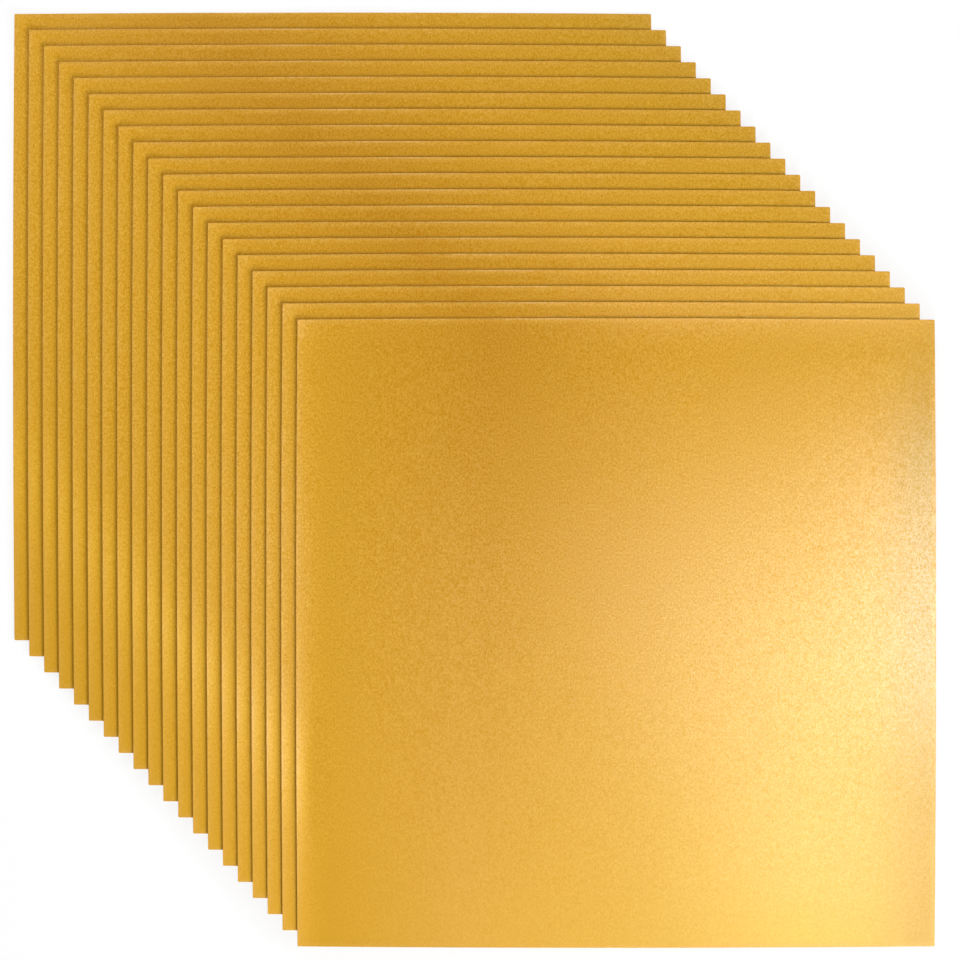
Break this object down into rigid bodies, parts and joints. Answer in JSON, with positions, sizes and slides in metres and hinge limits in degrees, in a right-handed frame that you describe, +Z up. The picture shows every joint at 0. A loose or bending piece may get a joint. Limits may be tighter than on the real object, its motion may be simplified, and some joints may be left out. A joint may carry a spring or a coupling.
{
  "type": "imitation gold sheet pack",
  "caption": "Fanned pack of loose, nearly square imitation gold metal sheets for craft gilding and embossing; each sheet lies on the one below and slides along the fan.",
  "frame": {"origin": "middle of the fanned pack's footprint, on the surface that it lies on", "axes": "+Z up out of the sheets' faces, +X along a sheet's width to the right, +Y along its length to the back; the fan steps towards +X and -Y as it rises"},
  "size_m": [0.442, 0.4478, 0.0117],
  "materials": {
    "gold_lacquer": "satin gold lacquer with a fine grain"
  },
  "bodies": {
    "sheet_01": {"sheet_01": "gold_lacquer"},
    "sheet_02": {"sheet_02": "gold_lacquer"},
    "sheet_03": {"sheet_03": "gold_lacquer"},
    "sheet_04": {"sheet_04": "gold_lacquer"},
    "sheet_05": {"sheet_05": "gold_lacquer"},
    "sheet_06": {"sheet_06": "gold_lacquer"},
    "sheet_07": {"sheet_07": "gold_lacquer"},
    "sheet_08": {"sheet_08": "gold_lacquer"},
    "sheet_09": {"sheet_09": "gold_lacquer"},
    "sheet_10": {"sheet_10": "gold_lacquer"},
    "sheet_11": {"sheet_11": "gold_lacquer"},
    "sheet_12": {"sheet_12": "gold_lacquer"},
    "sheet_13": {"sheet_13": "gold_lacquer"},
    "sheet_14": {"sheet_14": "gold_lacquer"},
    "sheet_15": {"sheet_15": "gold_lacquer"},
    "sheet_16": {"sheet_16": "gold_lacquer"},
    "sheet_17": {"sheet_17": "gold_lacquer"},
    "sheet_18": {"sheet_18": "gold_lacquer"},
    "sheet_19": {"sheet_19": "gold_lacquer"},
    "sheet_20": {"sheet_20": "gold_lacquer"}
  },
  "joints": [
    {"name": "sheet_02_slide", "type": "slide", "parent": "sheet_01", "child": "sheet_02", "axis": [0.6795, -0.7337, 0], "range_m": [-0.01051, 0.01051]},
    {"name": "sheet_03_slide", "type": "slide", "parent": "sheet_02", "child": "sheet_03", "axis": [0.6795, -0.7337, 0], "range_m": [-0.01051, 0.01051]},
    {"name": "sheet_04_slide", "type": "slide", "parent": "sheet_03", "child": "sheet_04", "axis": [0.6795, -0.7337, 0], "range_m": [-0.01051, 0.01051]},
    {"name": "sheet_05_slide", "type": "slide", "parent": "sheet_04", "child": "sheet_05", "axis": [0.6795, -0.7337, 0], "range_m": [-0.01051, 0.01051]},
    {"name": "sheet_06_slide", "type": "slide", "parent": "sheet_05", "child": "sheet_06", "axis": [0.6795, -0.7337, 0], "range_m": [-0.01051, 0.01051]},
    {"name": "sheet_07_slide", "type": "slide", "parent": "sheet_06", "child": "sheet_07", "axis": [0.6795, -0.7337, 0], "range_m": [-0.01051, 0.01051]},
    {"name": "sheet_08_slide", "type": "slide", "parent": "sheet_07", "child": "sheet_08", "axis": [0.6795, -0.7337, 0], "range_m": [-0.01051, 0.01051]},
    {"name": "sheet_09_slide", "type": "slide", "parent": "sheet_08", "child": "sheet_09", "axis": [0.6795, -0.7337, 0], "range_m": [-0.01051, 0.01051]},
    {"name": "sheet_10_slide", "type": "slide", "parent": "sheet_09", "child": "sheet_10", "axis": [0.6795, -0.7337, 0], "range_m": [-0.01051, 0.01051]},
    {"name": "sheet_11_slide", "type": "slide", "parent": "sheet_10", "child": "sheet_11", "axis": [0.6795, -0.7337, 0], "range_m": [-0.01051, 0.01051]},
    {"name": "sheet_12_slide", "type": "slide", "parent": "sheet_11", "child": "sheet_12", "axis": [0.6795, -0.7337, 0], "range_m": [-0.01051, 0.01051]},
    {"name": "sheet_13_slide", "type": "slide", "parent": "sheet_12", "child": "sheet_13", "axis": [0.6795, -0.7337, 0], "range_m": [-0.01051, 0.01051]},
    {"name": "sheet_14_slide", "type": "slide", "parent": "sheet_13", "child": "sheet_14", "axis": [0.6795, -0.7337, 0], "range_m": [-0.01051, 0.01051]},
    {"name": "sheet_15_slide", "type": "slide", "parent": "sheet_14", "child": "sheet_15", "axis": [0.6795, -0.7337, 0], "range_m": [-0.01051, 0.01051]},
    {"name": "sheet_16_slide", "type": "slide", "parent": "sheet_15", "child": "sheet_16", "axis": [0.6795, -0.7337, 0], "range_m": [-0.01051, 0.01051]},
    {"name": "sheet_17_slide", "type": "slide", "parent": "sheet_16", "child": "sheet_17", "axis": [0.6795, -0.7337, 0], "range_m": [-0.01051, 0.01051]},
    {"name": "sheet_18_slide", "type": "slide", "parent": "sheet_17", "child": "sheet_18", "axis": [0.6795, -0.7337, 0], "range_m": [-0.01051, 0.01051]},
    {"name": "sheet_19_slide", "type": "slide", "parent": "sheet_18", "child": "sheet_19", "axis": [0.6795, -0.7337, 0], "range_m": [-0.01051, 0.01051]},
    {"name": "sheet_20_slide", "type": "slide", "parent": "sheet_19", "child": "sheet_20", "axis": [0.6795, -0.7337, 0], "range_m": [-0.01051, 0.01051]}
  ]
}
